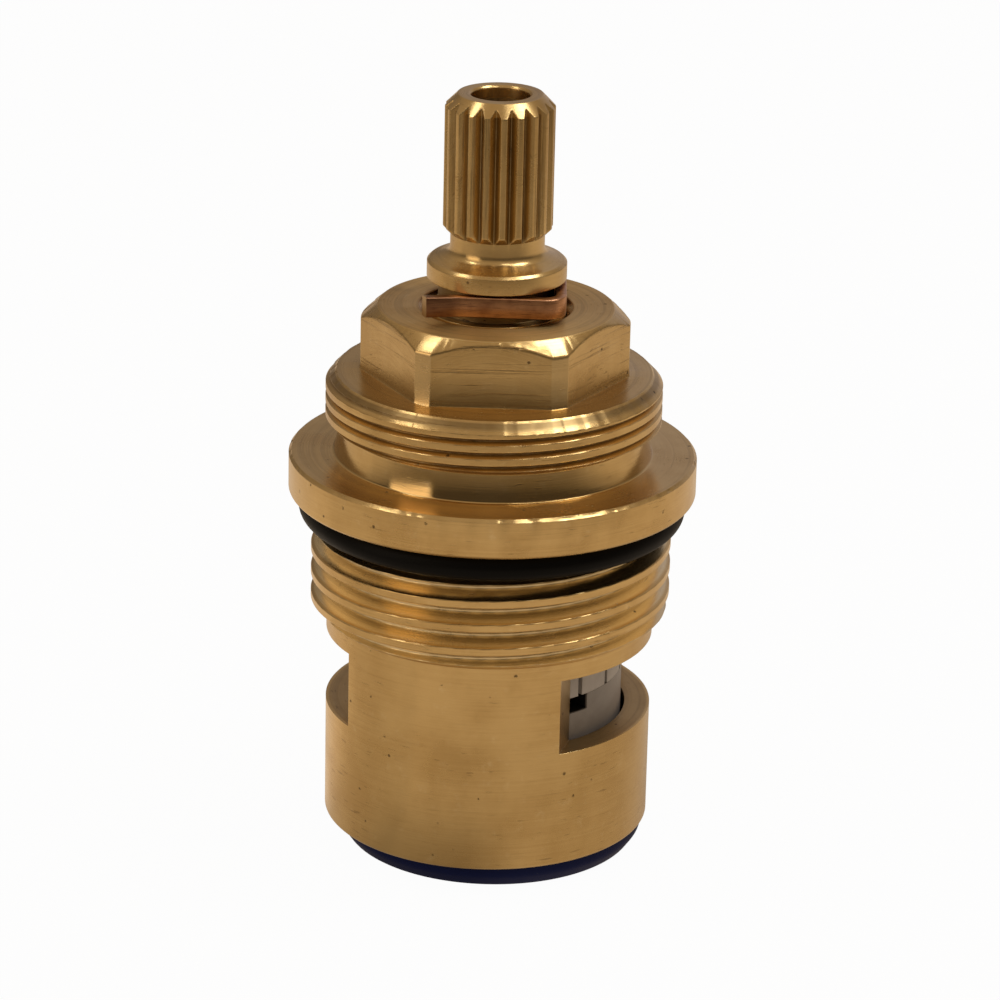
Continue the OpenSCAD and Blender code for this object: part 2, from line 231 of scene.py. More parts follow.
def brass(name, grooves, flats=None, streaks=None, satin=None, polish=None, gloss=0.17):
    """Turned brass. grooves lists (low z, high z, crest radius, depth, grime and painted shade, painted flank
    light).
    flats gives a hexagon's low z, high z, corner radius, top face's radius and chamfer slope.
    streaks and polish give the heights between which there are upright lines or a gloss.
    satin is the height of a dull level face, and gloss is the roughness to start from."""
    f = Finish(name)
    facing = f.place.node("ShaderNodeSeparateXYZ", out=2, Vector=f.normal())
    level = facing.step(0.8, 0.95)
    # Height and radius count together, so that level faces get their lathe lines too.
    along = f.z + f.radius * 1.3
    lathe = f.noise(1.0, 5, 0.7, f.at(f.east * 0.8, f.north * 0.8, along * LATHE_PITCH))
    fine = f.noise(1.0, 3, 0.6, f.at(f.east * 3.0, f.north * 3.0, along * LATHE_PITCH * 2.4))
    ring_at = f.at(f.east * 0.4, f.north * 0.4, f.radius * RING_PITCH)
    rings = f.noise(1.0, 3, 0.65, ring_at).step(0.5, 0.62) * level
    cloud = f.noise(0.16, 4, 0.6)
    mottle = f.noise(1.1, 5, 0.65)
    pits = f.spots(0.62, 0.045, 0.11) * mottle.step(0.48, 0.58)
    nick_at = f.at(f.east * 9, f.north * 9, along * 5.5)
    scratch = f.noise(1.0, 2, 0.4, nick_at).step(0.66, 0.72) * cloud.step(0.42, 0.6)
    # Grime and painted shade gather low in each groove, and painted light may brighten its flanks.
    grime_and_shade, painted_shine = f.z * 0.0, f.z * 0.0
    for low, high, crest, depth, dark, bright in grooves:
        deep = (crest - f.radius) / depth
        grime_and_shade = grime_and_shade + deep.step(0.3, 1.0) * f.z.between(low, high, BAND_SOFT) * dark
        painted_shine = painted_shine + deep.step(0.1, 0.3) * f.z.between(low, high, BAND_SOFT) * bright
    dirt_and_shade = (grime_and_shade + pits * 0.8 + scratch * 0.3).capped()
    soft, edge = f.soft_edges(EDGE_ROUNDING)
    worn_and_glint = edge * mottle.step(0.4, 0.6)
    # Each mark is mixed over the colour so far, and most also change the height.
    colour = (cloud * 0.7 + lathe * 0.3).step(0.36, 0.66).mix(BRASS_GOLD, BRASS_BROWN)
    # Painted light: the thread flanks are brightened as if lit.
    colour = (mottle.step(0.56, 0.8) * 0.3 + painted_shine).capped().mix(colour, BRASS_BRIGHT)
    colour = (fine.step(0.56, 0.8) * 0.3 + rings * 0.16).mix(colour, BRASS_DARK)
    height = lathe * 0.5 + fine * 0.4 - rings * 0.5 - pits * 1.5 - scratch * 0.6
    if flats:
        low, high, corner, face, slope = flats
        side = (high - (f.radius - face) * slope - f.z).step(0.02, 0.06) * f.z.step(low, low + 0.1)
        land = f.radius.step(corner - 0.03, corner - 0.01)
        line_at = f.at(f.x * 0.07, f.y * 0.07, f.z * 5)
        lines = f.noise(1.0, 4, 0.7, line_at).step(0.54, 0.68) * side * (1 - land)
        colour = (side * land * 0.2).mix(colour, BRASS_BRIGHT)
        colour = (lines * 0.4).mix(colour, BRASS_DARK)
        height = height - lines * 1.6
    if streaks:
        streak_at = f.at(f.x * 5, f.y * 5, f.z * 0.12)
        rolled_in = f.z.between(*streaks, 0.1) * f.noise(1.0, 4, 0.7, streak_at).step(0.48, 0.68)
        colour = (rolled_in * 0.5).mix(colour, BRASS_DARK)
        height = height - rolled_in
    # Dirt and the painted shade of the grooves darken the colour.
    colour = dirt_and_shade.mix(colour, BRASS_DARK)
    # Worn edges are lighter, and they also carry a painted highlight.
    colour = (worn_and_glint * 0.6).mix(colour, BRASS_BRIGHT)
    # Lathe lines, stains, dirt and the painted groove shade dull the metal, and worn edges are smoother.
    rough = gloss + 0.10 * lathe + 0.10 * cloud.step(0.45, 0.75) + 0.25 * dirt_and_shade - 0.08 * worn_and_glint
    if satin:
        rough = rough + 0.25 * f.z.between(satin - BAND_SOFT, satin + BAND_SOFT, 0.02)
    if polish:
        rough = rough * (1 - 0.55 * f.z.between(*polish, BAND_SOFT) * (1 - level))
    f.set(Base_Color=colour, Metallic=1.0, Roughness=rough, Normal=f.bump(height, 0.4, TOOL_MARK, soft))
    f.set(Anisotropic=0.6, Anisotropic_Rotation=0.25)
    return f.material


print("brass is ready")

# %% [markdown]
# ## Bronze, rubber, ceramic and plastic
# The clip is drawn phosphor bronze, redder than brass, with draw lines along the wire, a golden cut end and a
# painted highlight along its edges.
# The rubbers are nearly black and navy with a few specks of dust. The lapped ceramic and the milky plastic
# pieces are grey, darker than their own pale colour as a painted shade for the window, with wear and a
# painted highlight on their edges, and everything inside the chamber is painted black as shade.

# %% Bronze finish
BRONZE_RED = rgb(0.66, 0.35, 0.18)
BRONZE_BROWN = rgb(0.38, 0.18, 0.09)
BRONZE_DARK = rgb(0.085, 0.032, 0.018)
BRONZE_BRIGHT = rgb(0.75, 0.42, 0.22)
BAR_SHADE = (2.2, 3.4)


def bronze(name, turn, cut_at):
    """Drawn bronze wire. turn is the way that the front bar runs, and its end is cut at -cut_at along it."""
    f = Finish(name)
    bar = f.x * math.cos(turn) + f.y * math.sin(turn)
    draw = f.noise(1.0, 5, 0.7, f.at(f.x * 0.5, f.y * 0.5, f.z * 8))
    cloud = f.noise(0.5, 4)
    soft, edge = f.soft_edges(0.06)
    colour = cloud.step(0.35, 0.7).mix(BRONZE_RED, BRONZE_BROWN)
    colour = (draw.step(0.5, 0.7) * 0.6).mix(colour, BRONZE_DARK)
    # Painted highlight: the wire's edges are lighter.
    colour = (edge * 0.5).mix(colour, BRONZE_BRIGHT)
    colour = ((-1.0 * bar).step(*BAR_SHADE) * 0.6).mix(colour, BRONZE_DARK)
    colour = ((-1.0 * bar).step(cut_at - 0.2, cut_at - 0.1) * 0.55).mix(colour, BRASS_GOLD)
    f.set(Base_Color=colour, Metallic=1.0, Roughness=0.2 + 0.2 * draw,
          Normal=f.bump(draw, 0.5, TOOL_MARK, soft))
    return f.material


print("bronze is ready")

# %% Rubber finish
LINT = grey(0.3)
RUBBER_MIRROR = 0.09


def rubber(name, colour, bloom, gloss):
    """Moulded rubber with a dull bloom and specks of lint."""
    f = Finish(name)
    grain = f.noise(6.0, 4, 0.6)
    dust = f.noise(0.7, 5, 0.7)
    lint = f.spots(1.1, 0.03, 0.07) * dust.step(0.54, 0.62)
    mixed = (dust.step(0.5, 0.85) * 0.5).mix(colour, bloom)
    mixed = (lint * 0.5).mix(mixed, LINT)
    soft, edge = f.soft_edges(0.08)
    f.set(Base_Color=mixed, Roughness=gloss + 0.2 * dust + 0.1 * edge, Normal=f.bump(grain, 0.25, 0.02, soft))
    f.set(Specular_IOR_Level=RUBBER_MIRROR)
    return f.material


black_rubber = rubber("black_rubber", grey(0.003), grey(0.007), 0.36)
blue_rubber = rubber("blue_rubber", rgb(0.006, 0.012, 0.075), rgb(0.012, 0.024, 0.10), 0.42)
print("black and blue rubber made")

# %% Ceramic and plastic finishes
CHAMBER_SHADE = grey(0.012)
PALE_EDGE_WEAR_AND_GLINT = grey(0.8)
DISC_R = boxes["moving_disc"][1][0]
UNSHADED_WALL = 0.7


def pale(name, colour, shade, gloss, outside):
    """A pale hard piece. Inside the given radius it is painted black, as shade."""
    f = Finish(name)
    grain = f.noise(4.0, 4, 0.6)
    cloud = f.noise(0.35, 4, 0.6)
    soft, edge = f.soft_edges(0.08)
    mixed = cloud.step(0.35, 0.7).mix(colour, shade)
    mixed = (grain.step(0.6, 0.8) * 0.25).mix(mixed, shade)
    # Lighter edges: wear and a painted highlight.
    mixed = (edge * 0.6).mix(mixed, PALE_EDGE_WEAR_AND_GLINT)
    # Painted shade: everything inside the given radius is black.
    mixed = f.radius.step(outside - 0.22, outside - 0.1).mix(CHAMBER_SHADE, mixed)
    f.set(Base_Color=mixed, Roughness=gloss + 0.15 * grain, Normal=f.bump(grain, 0.2, 0.01, soft))
    return f.material


# The ceramic and acetal greys are darker than the pieces' own pale colour, a painted shade for the window.
ceramic = pale("ceramic", rgb(0.34, 0.32, 0.31), rgb(0.27, 0.255, 0.25), 0.3, DISC_R)
acetal = pale("acetal", rgb(0.58, 0.56, 0.55), rgb(0.47, 0.45, 0.44), 0.35, DISC_R - UNSHADED_WALL)
support_plastic = pale("support_plastic", rgb(0.36, 0.36, 0.37), rgb(0.28, 0.28, 0.29), 0.4, 0.0)
print("ceramic and plastic made")

# %% [markdown]
# ## A lathe in code
# Most pieces here were made on a lathe, so the mesh is made the same way: a row of points is turned about the
# axis, and the next row is joined to it. A row may give each angle its own radius and height, which makes a
# thread, a hexagon or splines with no cutting at all. Corners of the outline are rounded, because no real
# edge is sharp.

# %% Turn rows of points into a mesh
ARC_SHARE, SHARP = 0.45, 26


def rounded(points, segments=3):
    """An outline of (radius, height, rounding) corners with each corner turned into a short arc."""
    line = []
    for k, (r, z, size) in enumerate(points):
        here = Vector((r, z))
        if size == 0 or k in (0, len(points) - 1):
            line.append((r, z))
            continue
        back = Vector(points[k - 1][:2]) - here
        ahead = Vector(points[k + 1][:2]) - here
        reach = min(size, back.length * ARC_SHARE, ahead.length * ARC_SHARE)
        start = here + back.normalized() * reach
        end = here + ahead.normalized() * reach
        for step in range(segments + 1):
            t = step / segments
            point = start * (1 - t) ** 2 + here * (2 * t * (1 - t)) + end * t ** 2
            line.append((point.x, point.y))
    return line


def smooth(mesh):
    """Shades a mesh smooth, but for edges that turn by more than SHARP degrees."""
    mesh.shade_smooth()
    mesh.set_sharp_from_angle(angle=math.radians(SHARP))


def piece(name, mesh, material):
    """Links a mesh into the scene with its material."""
    mesh.validate()
    smooth(mesh)
    made = bpy.data.objects.new(name, mesh)
    bpy.context.scene.collection.objects.link(made)
    made.data.materials.append(material)
    return made


def turned(name, rows, angles, material, closed):
    """A mesh of rows round the axis. closed joins the last row to the first.
    Otherwise each end gets a centre point."""
    count = len(angles)
    cosines, sines = np.cos(angles), np.sin(angles)
    rings = [np.stack([np.broadcast_to(r, count) * cosines, np.broadcast_to(r, count) * sines,
                       np.broadcast_to(z, count)], axis=1) for r, z in rows]
    verts = (np.concatenate(rings) * MM).tolist()
    pairs = [(k, k + 1) for k in range(len(rows) - 1)] + ([(len(rows) - 1, 0)] if closed else [])
    here = np.arange(count)
    ahead = (here + 1) % count
    faces = []
    for low, high in pairs:
        quads = (low * count + here, low * count + ahead, high * count + ahead, high * count + here)
        faces += np.stack(quads, axis=1).tolist()
    if not closed:
        for row, turn in ((0, -1), (len(rows) - 1, 1)):
            edge = np.stack([row * count + here, row * count + ahead], axis=1)[:, ::turn].tolist()
            faces += [(a, b, len(verts)) for a, b in edge]
            verts.append((0, 0, float(np.mean(rows[row][1])) * MM))
    mesh = bpy.data.meshes.new(name)
    mesh.from_pydata(verts, [], faces)
    return piece(name, mesh, material)


def column_angles(count, extra_degrees=(), keep_off=0.35):
    """Even angles, with the extra ones put in and even ones too close to them left out."""
    extra = np.radians(sorted(d % 360 for d in extra_degrees))
    turn = 2 * math.pi
    even = np.linspace(0, turn, count, endpoint=False)
    gap = math.radians(keep_off)
    far = [a for a in even if len(extra) == 0 or np.min(np.abs((a - extra + math.pi) % turn - math.pi)) > gap]
    return np.array(sorted([*far, *extra]))


print("lathe is ready")

# %% Threads and knocks
THREAD_BLUR, ROW_SPARE = 0.018, 0.001


def thread(z, angle, crest, depth, pitch, crest_at, land=0.3, root=0.12):
    """Radius of a right-hand thread, with its corners blurred a little. land and root are flat shares of the
    pitch, and crest_at is the height of a crest at angle 0."""
    blur = np.linspace(-1, 1, 5) * THREAD_BLUR * pitch
    total = 0
    for shift in blur:
        turns = (z + shift - crest_at) / pitch - angle / (2 * math.pi)
        from_crest = 2 * np.abs((turns + 0.5) % 1 - 0.5)
        total = total + np.clip((from_crest - land) / (1 - land - root), 0, 1)
    return crest - depth * total / len(blur)


def heights(low, high, step):
    """Even heights from low to high, for the rows of a thread."""
    return np.arange(low, high + ROW_SPARE, step)


def wear(angle, seed):
    """Small knocks along an edge, from 0 to 1, at angles that look like chance."""
    waves = np.sin(23 * angle + seed) * np.sin(61 * angle + 2.3 * seed) * np.sin(7 * angle + 0.7 * seed)
    return np.clip((waves - 0.25) / 0.5, 0, 1)


def burrs(angle, seed):
    """Fine burrs along an edge, from 0 to 1."""
    fine = np.sin(83 * angle + seed) * np.sin(127 * angle + 1.7 * seed)
    coarse = np.sin(41 * angle + 0.4 * seed)
    return np.clip(fine + 0.6 * coarse, 0, 1)


print("threads and knocks are ready")

# %% [markdown]
# ## The body
# The body is one turned bar. From below come the skirt, the valve thread, the O-ring seat, the flange, a
# plain neck, the shroud thread and the hexagon, and then the outline goes back down through the bore and the
# chamber. Both threads are true helices: each row lies at one height, and its radius follows the thread round
# the axis.

# %% Sizes of the body
# The threads are set by where a crest lies on the side that faces the camera.
CAMERA_AZIMUTH = 15.75
FRONT = math.radians(CAMERA_AZIMUTH - 90)
# The skirt's lower edge is a little higher in the photo than in the CAD.
SKIRT_LIFT = 0.43
SKIRT_R, SKIRT_Z = 12.05, boxes["bonnet_body"][0][2] + SKIRT_LIFT
FLANGE_R, HEX_TOP = boxes["bonnet_body"][1][0], boxes["bonnet_body"][1][2]
VALVE_Z, SEAT_Z, FLANGE_Z, FLANGE_TOP, SHROUD_Z, SHOULDER_Z = 17.6, 24.35, 27.0, 30.0, 32.05, 36.15
VALVE_CREST, VALVE_DEPTH, VALVE_PITCH, VALVE_FRONT = 13.22, 1.17, 1.814, 22.97
VALVE_LEAD_IN, VALVE_RUN_OUT, VALVE_STEP = 1.36, 2.6, 0.04
SHROUD_CREST, SHROUD_DEPTH, SHROUD_PITCH, SHROUD_FRONT = 12.25, 0.42, 1.0, 34.29
SHROUD_LAND, SHROUD_ROOT, SHROUD_LEAD_IN, SHROUD_STEP = 0.5, 0.06, 1.7, 0.03
SHROUD_EDGE, SHROUD_BURR = 0.8, 0.035
SEAT_R, NECK_R, NECK_LEAN, NECK_FILLET = 12.05, 11.2, 0.4, 0.15
HEX_ACROSS, HEX_CORNER, HEX_FACE, HEX_TURN, HEX_CHAMFER = 17.5, 9.75, 8.5, 14.2, 1.0
HEX_SLOPE = HEX_CHAMFER / (HEX_CORNER - HEX_FACE)
BORE_R, BORE_SINK, CHAMBER_R, ROOF_Z = 5.12, 0.5, 10.2, 20.1
SEAL_SEAT_R, SEAL_SEAT_Z = 11.02, 2.75
WINDOW_FLAT, SILL_Z, HEAD_Z = 8.0, 10.6, 16.3
print("valve thread:", VALVE_CREST * 2, "mm over its crests, hexagon:", HEX_ACROSS, "mm over its flats")

# %% Brass and columns of the body
COLUMNS, CORNER_SPLIT = 400, 0.3

# The grooves and windows get grime and painted shade, and the valve thread's flanks get painted light.
body_brass = brass("body_brass", [
    (VALVE_Z + 0.2, SEAT_Z, VALVE_CREST, VALVE_DEPTH, 0.12, 0.9),
    (SHROUD_Z + 0.15, SHOULDER_Z - 0.15, SHROUD_CREST, SHROUD_DEPTH, 0.5, 0.0),
    (SILL_Z - 0.05, HEAD_Z + 0.05, SKIRT_R, 0.3, 0.4, 0.0),
], flats=(SHOULDER_Z, HEX_TOP, HEX_CORNER, HEX_FACE, HEX_SLOPE),
    satin=HEX_TOP, polish=(FLANGE_TOP, SHROUD_Z))
flats = [HEX_TURN + 30 + 60 * k for k in range(6)]
flat_half = math.degrees(math.acos(HEX_ACROSS / 2 / HEX_CORNER))
hex_edges = [flat + side * (flat_half + nudge) for flat in flats for side in (-1, 1)
             for nudge in (-CORNER_SPLIT, 0.0, CORNER_SPLIT)]
body_angles = column_angles(COLUMNS, hex_edges, keep_off=0.25)
print("body columns:", len(body_angles))

# %% Rows that change round the body
def hexagon(angle):
    """Radius of the hexagon with its turned corners."""
    off = (np.degrees(angle) - flats[0] + 30) % 60 - 30
    return np.minimum(HEX_ACROSS / 2 / np.cos(np.radians(off)), HEX_CORNER)


def valve_row(z):
    """The valve thread at one height, cut off by the cones that lead it in and out."""
    crest_at = VALVE_FRONT - VALVE_PITCH * FRONT / (2 * math.pi)
    r = thread(z, body_angles, VALVE_CREST, VALVE_DEPTH, VALVE_PITCH, crest_at)
    lead_in = SKIRT_R + (z - VALVE_Z) * VALVE_LEAD_IN
    run_out = SEAT_R + (SEAT_Z - z) * VALVE_RUN_OUT
    return np.maximum(np.minimum(np.minimum(r, lead_in), run_out), SEAT_R), z


def shroud_row(z):
    """The shroud thread at one height, with small burrs along its upper edge."""
    crest_at = SHROUD_FRONT - SHROUD_PITCH * FRONT / (2 * math.pi)
    r = thread(z, body_angles, SHROUD_CREST, SHROUD_DEPTH, SHROUD_PITCH, crest_at, SHROUD_LAND, SHROUD_ROOT)
    lead_in = NECK_R + (z - SHROUD_Z) * SHROUD_LEAD_IN
    run_out = SHROUD_CREST - SHROUD_EDGE + (SHOULDER_Z - z) - SHROUD_BURR * burrs(body_angles, 2.0)
    return np.maximum(np.minimum(np.minimum(r, lead_in), run_out), NECK_R), z


valve_thread = [valve_row(z) for z in heights(VALVE_Z, SEAT_Z, VALVE_STEP)]
shroud_thread = [shroud_row(z) for z in heights(SHROUD_Z, SHOULDER_Z, SHROUD_STEP)]
print("thread rows:", len(valve_thread), "and", len(shroud_thread))

# %% Turn the body
EDGE, HAIR, SKIRT_BREAK, KNOCK, BURR = 0.22, 0.05, 0.15, 0.05, 0.03
SKIRT_MID, TOP_MID, CHAMBER_MID, SEAT_GAP, RIM_GAP = 8.0, 7.2, 12.0, 0.1, 0.2
FOOT, FOOT_IN, FOOT_UP = 0.25, 0.06, 0.03
CHAMFER_FROM, CHAMFER_SOFT, CHAMFER_IN, CHAMFER_DOWN, RIM = 0.25, 0.09, 0.025, 0.02, 0.08

hex_r = hexagon(body_angles)
chamfer_z = HEX_TOP - (hex_r - HEX_FACE) * HEX_SLOPE
knocks = KNOCK * wear(body_angles, 1.0) + BURR * burrs(body_angles, 5.0)
skirt = rounded([
    (SEAL_SEAT_R, SKIRT_Z + SKIRT_BREAK, 0), (SEAL_SEAT_R + SKIRT_BREAK, SKIRT_Z, 0.05),
    (SKIRT_R - EDGE, SKIRT_Z, 0.08), (SKIRT_R, SKIRT_Z + EDGE, 0.1),
    (SKIRT_R, SKIRT_MID, 0), (SKIRT_R, VALVE_Z - HAIR, 0)])
flange = rounded([
    (SEAT_R, SEAT_Z + SEAT_GAP, 0), (SEAT_R, FLANGE_Z, 0.15), (FLANGE_R - EDGE, FLANGE_Z, 0.08),
    (FLANGE_R, FLANGE_Z + EDGE, 0.1), (FLANGE_R, FLANGE_TOP - EDGE - RIM_GAP, 0)], 5)
flange_edge = [
    (FLANGE_R - knocks / 3, FLANGE_TOP - EDGE),
    (FLANGE_R - EDGE / 2 - knocks, FLANGE_TOP - EDGE / 2 - knocks)]
neck = rounded([
    (FLANGE_R - EDGE, FLANGE_TOP, 0), (NECK_R + NECK_LEAN, FLANGE_TOP, NECK_FILLET),
    (NECK_R, SHROUD_Z - HAIR, 0)], 7)
hex_sides = [
    (hex_r + FOOT, SHOULDER_Z), (hex_r + FOOT_IN, SHOULDER_Z + FOOT_UP), (hex_r, SHOULDER_Z + EDGE),
    (hex_r, (SHOULDER_Z + HEX_TOP) / 2), (hex_r, chamfer_z - CHAMFER_FROM),
    (hex_r, chamfer_z - CHAMFER_SOFT - knocks),
    (hex_r - CHAMFER_IN - knocks / 2, chamfer_z - CHAMFER_DOWN - knocks / 2),
    (hex_r - CHAMFER_SOFT - knocks, chamfer_z + CHAMFER_SOFT * HEX_SLOPE)]
inside = rounded([
    (HEX_FACE + RIM, HEX_TOP - RIM * HEX_SLOPE, 0), (HEX_FACE, HEX_TOP, 0.06), (TOP_MID, HEX_TOP, 0),
    (BORE_R + BORE_SINK, HEX_TOP, 0.06), (BORE_R, HEX_TOP - BORE_SINK, 0.06), (BORE_R, ROOF_Z, 0.05),
    (CHAMBER_R, ROOF_Z, 0.2), (CHAMBER_R, CHAMBER_MID, 0), (CHAMBER_R, SEAL_SEAT_Z, 0.05),
    (SEAL_SEAT_R, SEAL_SEAT_Z, 0.05), (SEAL_SEAT_R, SKIRT_Z + SKIRT_BREAK + HAIR, 0)])
body_rows = [*skirt, *valve_thread, *flange, *flange_edge, *neck, *shroud_thread, *hex_sides, *inside]
body = turned("brass_body", body_rows, body_angles, body_brass, closed=True)
print("body rows:", len(body_rows), "faces:", len(body.data.polygons))

# %% [markdown]
# ## Cutting the windows
# On the real body a cutter passes each side of the skirt and breaks into the chamber, which leaves a
# flat-bottomed window. A Boolean does the same here, and it also cuts the two slots that hold the lugs of the
# fixed disc.

# %% Cut windows and lug slots
LUG_HALF, LUG_R, LUG_LOW, LUG_TOP = 2.65, 11.1, 0.5, 9.42
PAST = 1.0


def cut(target, blocks):
    """Cuts boxes, each given by its low and high corner, out of a piece and keeps the result as its mesh."""
    sides = [(0, 1, 3, 2), (4, 6, 7, 5), (0, 4, 5, 1), (2, 3, 7, 6), (0, 2, 6, 4), (1, 5, 7, 3)]
    verts, faces = [], []
    for low, high in blocks:
        faces += [tuple(k + len(verts) for k in side) for side in sides]
        verts += [Vector((x, y, z)) * MM for x in (low[0], high[0]) for y in (low[1], high[1])
                  for z in (low[2], high[2])]
    mesh = bpy.data.meshes.new("cutter")
    mesh.from_pydata(verts, [], faces)
    cutter = bpy.data.objects.new("cutter", mesh)
    bpy.context.scene.collection.objects.link(cutter)
    trim = target.modifiers.new("windows", "BOOLEAN")
    trim.operation = "DIFFERENCE"
    trim.solver = "EXACT"
    trim.object = cutter
    bpy.context.view_layer.update()
    made = bpy.data.meshes.new_from_object(target.evaluated_get(bpy.context.evaluated_depsgraph_get()))
    target.modifiers.clear()
    target.data = made
    bpy.data.objects.remove(cutter)
    smooth(made)


outside, inner = FLANGE_R + PAST, CHAMBER_R - PAST
cut(body, [((WINDOW_FLAT, -outside, SILL_Z), (outside, outside, HEAD_Z)),
           ((-outside, -outside, SILL_Z), (-WINDOW_FLAT, outside, HEAD_Z)),
           ((-LUG_HALF, inner, LUG_LOW), (LUG_HALF, LUG_R, LUG_TOP)),
           ((-LUG_HALF, -LUG_R, LUG_LOW), (LUG_HALF, -inner, LUG_TOP))])
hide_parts("bonnet_body")
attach(body, "housing")
print("body after the cuts:", len(body.data.polygons), "faces")

# %% [markdown]
# ## The spindle
# The spindle is turned too, and its splines were rolled: V-shaped grooves between narrow flats, cut off by a
# cone at each end. The drive tongue, the thrust flange and its stop lugs are also rows whose radius changes
# with the angle.

# %% Sizes of the spindle
SPINDLE_TOP, TONGUE_Z = boxes["spindle"][1][2], boxes["spindle"][0][2]
TONGUE_X, TONGUE_Y, THRUST_Z, THRUST_R, THRUST_TOP = 7.7, 2.4, 17.36, 8.55, 19.36
STOP_R, STOP_LUG, STOP_TURN, STOP_SPLIT = 10.05, 48.0, -45.0, 0.15
JOURNAL_R, CLIP_GROOVE_R, WAIST_R = 5.05, 4.2, 3.4
ORING_GROOVE_R, ORING_GROOVE_H, ORING_GROOVES = 3.61, 1.56, (26.1, 31.1)
GROOVE_Z, COLLAR_Z, COLLAR_TOP = 40.95, 43.28, 44.65
SPLINES, SPLINE_R, SPLINE_DEPTH, SPLINE_TURN, SPLINE_Z = 20, 3.95, 0.55, 2.4, 46.6
SPLINE_TIP, SPLINE_FLANK, SPLINE_BLUR, SPLINE_GAP = 0.32, 0.58, 0.06, 0.02
SPLINE_CHAMFER, SPLINE_START, SPLINE_RUN_IN, SPLINE_PLAIN = 0.9, 0.5, 0.6, (47.4, 55.4)
TIP_R = SPLINE_R - SPLINE_CHAMFER
HOLE_R, HOLE_SINK, HOLE_DEPTH, SCREW_START = 2.1, 0.15, 9.0, 2.0
SCREW_PITCH, SCREW_DEPTH, SCREW_CREST, SCREW_LAND, SCREW_ROOT, SCREW_STEP = 0.8, 0.3, 52.0, 0.2, 0.1, 0.1

# The splines and the clip groove get grime and painted shade.
spindle_brass = brass("spindle_brass", [
    (SPLINE_Z, SPINDLE_TOP - SPLINE_CHAMFER, SPLINE_R, SPLINE_DEPTH, 0.45, 0.0),
    (GROOVE_Z - 0.1, COLLAR_Z, JOURNAL_R, JOURNAL_R - CLIP_GROOVE_R, 0.7, 0.0),
], streaks=(SPLINE_Z, SPINDLE_TOP - SPLINE_CHAMFER), gloss=0.2)
tongue_corner = math.degrees(math.atan2(TONGUE_Y, TONGUE_X))
corners = [side * tongue_corner + base for side in (-1, 1) for base in (0, 180)]
stop_edges = [STOP_TURN + base + side * STOP_LUG / 2 + nudge for base in (0, 180) for side in (-1, 1)
              for nudge in (-STOP_SPLIT, STOP_SPLIT)]
spindle_angles = column_angles(COLUMNS, corners + stop_edges, keep_off=0.12)
print("spindle columns:", len(spindle_angles))

# %% Rows that change round the spindle
def rolled(angle):
    """How deep the spline groove is at an angle, from 0 on a tip to 1 at the root."""
    off = np.abs(((np.degrees(angle) - SPLINE_TURN) * SPLINES / 360 + 0.5) % 1 - 0.5) * 2
    shifts = np.linspace(-SPLINE_BLUR, SPLINE_BLUR, 5)
    return sum(np.clip((off + shift - SPLINE_TIP) / SPLINE_FLANK, 0, 1) for shift in shifts) / len(shifts)


def spline_row(z):
    """A row of the splines, cut off by a cone at each end."""
    cone = min(TIP_R + SPINDLE_TOP - z, SPLINE_R - SPLINE_START + z - SPLINE_Z)
    return np.minimum(SPLINE_R - SPLINE_DEPTH * groove, cone), z


def screw_row(z):
    """A row of the screw thread: a thread of negative radius, turned inside out."""
    r = thread(z, spindle_angles, -HOLE_R, SCREW_DEPTH, SCREW_PITCH, SCREW_CREST, SCREW_LAND, SCREW_ROOT)
    return r * -1, z


groove = rolled(spindle_angles)
spline_steps = np.concatenate([
    np.linspace(SPLINE_Z, SPLINE_Z + SPLINE_RUN_IN, 12), np.linspace(*SPLINE_PLAIN, 5),
    np.linspace(SPINDLE_TOP - SPLINE_CHAMFER - 0.1, SPINDLE_TOP - SPLINE_GAP, 18)])
splines = [spline_row(z) for z in spline_steps]
screw_steps = np.arange(SPINDLE_TOP - SCREW_START, SPINDLE_TOP - HOLE_DEPTH, -SCREW_STEP)
screw_thread = [screw_row(z) for z in screw_steps]
tongue_r = np.minimum(TONGUE_X / np.maximum(np.abs(np.cos(spindle_angles)), 1e-6),
                      TONGUE_Y / np.maximum(np.abs(np.sin(spindle_angles)), 1e-6))
stop_off = np.abs((np.degrees(spindle_angles) - STOP_TURN + 90) % 180 - 90)
thrust_r = np.where(stop_off < STOP_LUG / 2, STOP_R, THRUST_R)
print("spline rows:", len(splines), "screw rows:", len(screw_thread))

# %% Turn the spindle
TONGUE_EDGE, THRUST_EDGE, JOURNAL_FOOT, COLLAR_DOWN, COLLAR_IN = 0.08, 0.06, 0.1, 0.2, 0.22
FLARE_R, FLARE_Z, FLARE_TOP, FLARE_ROUND = 4.35, 0.12, 0.55, 1.0
TIP_IN, DRILL_R, DRILL_TIP = 0.06, 0.4, 1.0

